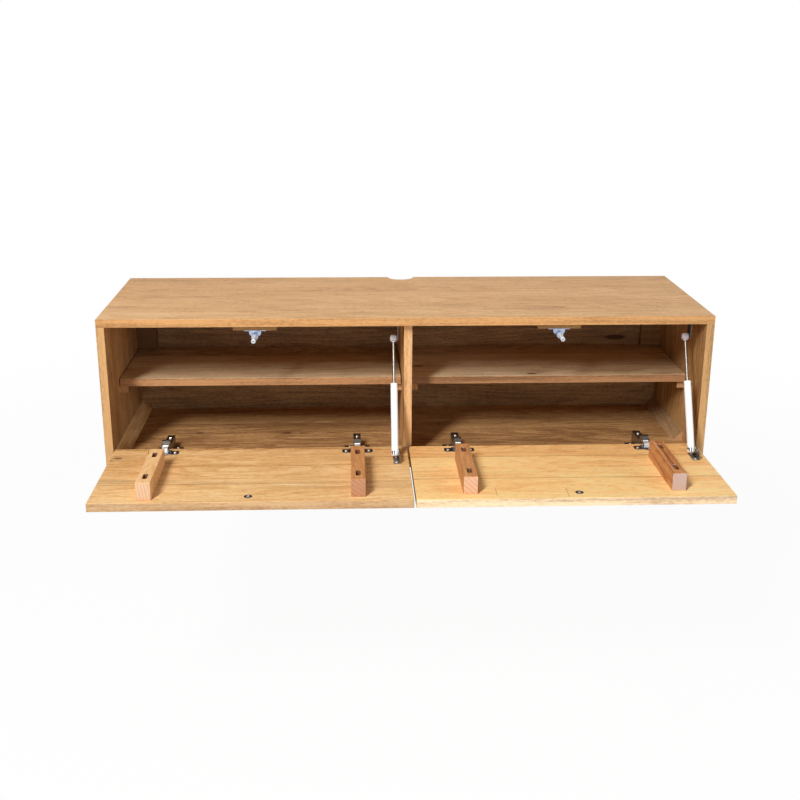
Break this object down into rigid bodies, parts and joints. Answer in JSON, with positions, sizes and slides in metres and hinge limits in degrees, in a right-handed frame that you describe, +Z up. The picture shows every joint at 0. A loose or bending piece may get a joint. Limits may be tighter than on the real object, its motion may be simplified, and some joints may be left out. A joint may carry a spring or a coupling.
{
  "type": "floating media console",
  "caption": "Wall-hung wooden media console with drop-down doors on concealed hinges and gas struts, shelves, touch latches and a bevelled hanging rail.",
  "frame": {"origin": "centre of the wall screw pattern, on the wall plane", "axes": "+X along the case to its right end seen from the front, +Y to the rear into the wall, +Z up"},
  "size_m": [1.28, 0.688, 0.33],
  "materials": {
    "case_wood_level": "satin oiled, grain along the length",
    "case_wood_upright": "satin oiled, grain upright",
    "back_wood": "satin oiled, grain along the length",
    "shelf_wood": "satin oiled, grain along the length",
    "door_wood": "satin oiled, grain along the length",
    "batten_wood": "satin oiled, grain along the batten",
    "block_wood": "satin oiled",
    "rail_wood": "planed, unfinished",
    "hinge_steel": "nickel plated",
    "strut_tube": "white paint, satin",
    "strut_rod": "polished",
    "strut_plastic": "moulded, matt",
    "bracket_steel": "zinc plated",
    "latch_metal": "zinc, satin",
    "latch_plunger": "moulded, matt",
    "spring_steel": "bright",
    "screw_steel": "zinc plated"
  },
  "bodies": {
    "cabinet": {"back_panel": "back_wood", "bottom_panel": "case_wood_level", "case_hanging_rail": "rail_wood", "case_screws": "screw_steel", "centre_divider": "case_wood_upright", "hinge_pins": "hinge_steel", "left_corner_block": "block_wood", "left_glue_strip": "block_wood", "left_head_bracket": "bracket_steel", "left_hinge_plates": "hinge_steel", "left_inner_hinge_arm": "hinge_steel", "left_latch_block": "block_wood", "left_latch_housing": "latch_metal", "left_latch_spring": "spring_steel", "left_outer_hinge_arm": "hinge_steel", "left_shelf": "shelf_wood", "left_shelf_cleats": "block_wood", "left_side_panel": "case_wood_upright", "right_corner_block": "block_wood", "right_glue_strip": "block_wood", "right_head_bracket": "bracket_steel", "right_hinge_plates": "hinge_steel", "right_inner_hinge_arm": "hinge_steel", "right_latch_block": "block_wood", "right_latch_housing": "latch_metal", "right_latch_spring": "spring_steel", "right_outer_hinge_arm": "hinge_steel", "right_shelf": "shelf_wood", "right_shelf_cleats": "block_wood", "right_side_panel": "case_wood_upright", "top_panel": "case_wood_level", "wall_rail": "rail_wood"},
    "left_door": {"left_door": "door_wood", "left_strike_plate": "latch_metal", "left_foot_bracket": "bracket_steel", "left_door_screws": "screw_steel", "left_outer_batten": "batten_wood", "left_inner_batten": "batten_wood", "left_outer_hinge_cup": "hinge_steel", "left_inner_hinge_cup": "hinge_steel"},
    "left_door_links": {"left_hinge_links": "hinge_steel"},
    "left_strut_cylinder": {"left_strut_cylinder": "strut_tube", "left_strut_foot": "strut_tube"},
    "left_strut_rod": {"left_strut_rod": "strut_rod", "left_rod_cap": "strut_plastic"},
    "left_latch_plunger": {"left_latch_plunger": "latch_plunger"},
    "right_door": {"right_door": "door_wood", "right_strike_plate": "latch_metal", "right_foot_bracket": "bracket_steel", "right_door_screws": "screw_steel", "right_outer_batten": "batten_wood", "right_inner_batten": "batten_wood", "right_outer_hinge_cup": "hinge_steel", "right_inner_hinge_cup": "hinge_steel"},
    "right_door_links": {"right_hinge_links": "hinge_steel"},
    "right_strut_cylinder": {"right_strut_cylinder": "strut_tube", "right_strut_foot": "strut_tube"},
    "right_strut_rod": {"right_strut_rod": "strut_rod", "right_rod_cap": "strut_plastic"},
    "right_latch_plunger": {"right_latch_plunger": "latch_plunger"}
  },
  "joints": [
    {"name": "left_door_hinge", "type": "hinge", "parent": "cabinet", "child": "left_door", "pos_m": [0, -0.405, -0.185], "axis": [-1, 0, 0], "range_deg": [0, 90]},
    {"name": "left_link_pivot", "type": "hinge", "parent": "cabinet", "child": "left_door_links", "pos_m": [0, -0.3925, -0.1626], "axis": [1, 0, 0], "range_deg": [0, 61.5]},
    {"name": "left_strut_foot_pivot", "type": "hinge", "parent": "left_door", "child": "left_strut_cylinder", "pos_m": [-0.03, -0.465, -0.154], "axis": [1, 0, 0], "range_deg": [0, 112]},
    {"name": "left_strut_rod_slide", "type": "slide", "parent": "left_strut_cylinder", "child": "left_strut_rod", "axis": [0, 0.4439, 0.8961], "range_m": [-0.0537, 0]},
    {"name": "left_latch_push", "type": "slide", "parent": "cabinet", "child": "left_latch_plunger", "axis": [0, 1, 0], "range_m": [0, 0.0352], "deforming": ["left_latch_spring"]},
    {"name": "right_door_hinge", "type": "hinge", "parent": "cabinet", "child": "right_door", "pos_m": [0, -0.405, -0.185], "axis": [-1, 0, 0], "range_deg": [0, 90]},
    {"name": "right_link_pivot", "type": "hinge", "parent": "cabinet", "child": "right_door_links", "pos_m": [0, -0.3925, -0.1626], "axis": [1, 0, 0], "range_deg": [0, 61.5]},
    {"name": "right_strut_foot_pivot", "type": "hinge", "parent": "right_door", "child": "right_strut_cylinder", "pos_m": [0.593, -0.465, -0.154], "axis": [1, 0, 0], "range_deg": [0, 112]},
    {"name": "right_strut_rod_slide", "type": "slide", "parent": "right_strut_cylinder", "child": "right_strut_rod", "axis": [0, 0.4439, 0.8961], "range_m": [-0.0537, 0]},
    {"name": "right_latch_push", "type": "slide", "parent": "cabinet", "child": "right_latch_plunger", "axis": [0, 1, 0], "range_m": [0, 0.0352], "deforming": ["right_latch_spring"]}
  ],
  "couplings": [
    {"joint": "left_link_pivot", "follows": "left_door_hinge", "ratio": 0.67778},
    {"joint": "left_strut_foot_pivot", "follows": "left_door_hinge", "ratio": 1.2357},
    {"joint": "left_strut_rod_slide", "follows": "left_door_hinge", "m_per_rad": -0.034074},
    {"joint": "left_latch_push", "follows": "left_door_hinge", "m_per_rad": 0.022282},
    {"joint": "right_link_pivot", "follows": "right_door_hinge", "ratio": 0.67778},
    {"joint": "right_strut_foot_pivot", "follows": "right_door_hinge", "ratio": 1.2357},
    {"joint": "right_strut_rod_slide", "follows": "right_door_hinge", "m_per_rad": -0.034074},
    {"joint": "right_latch_push", "follows": "right_door_hinge", "m_per_rad": 0.022282}
  ]
}
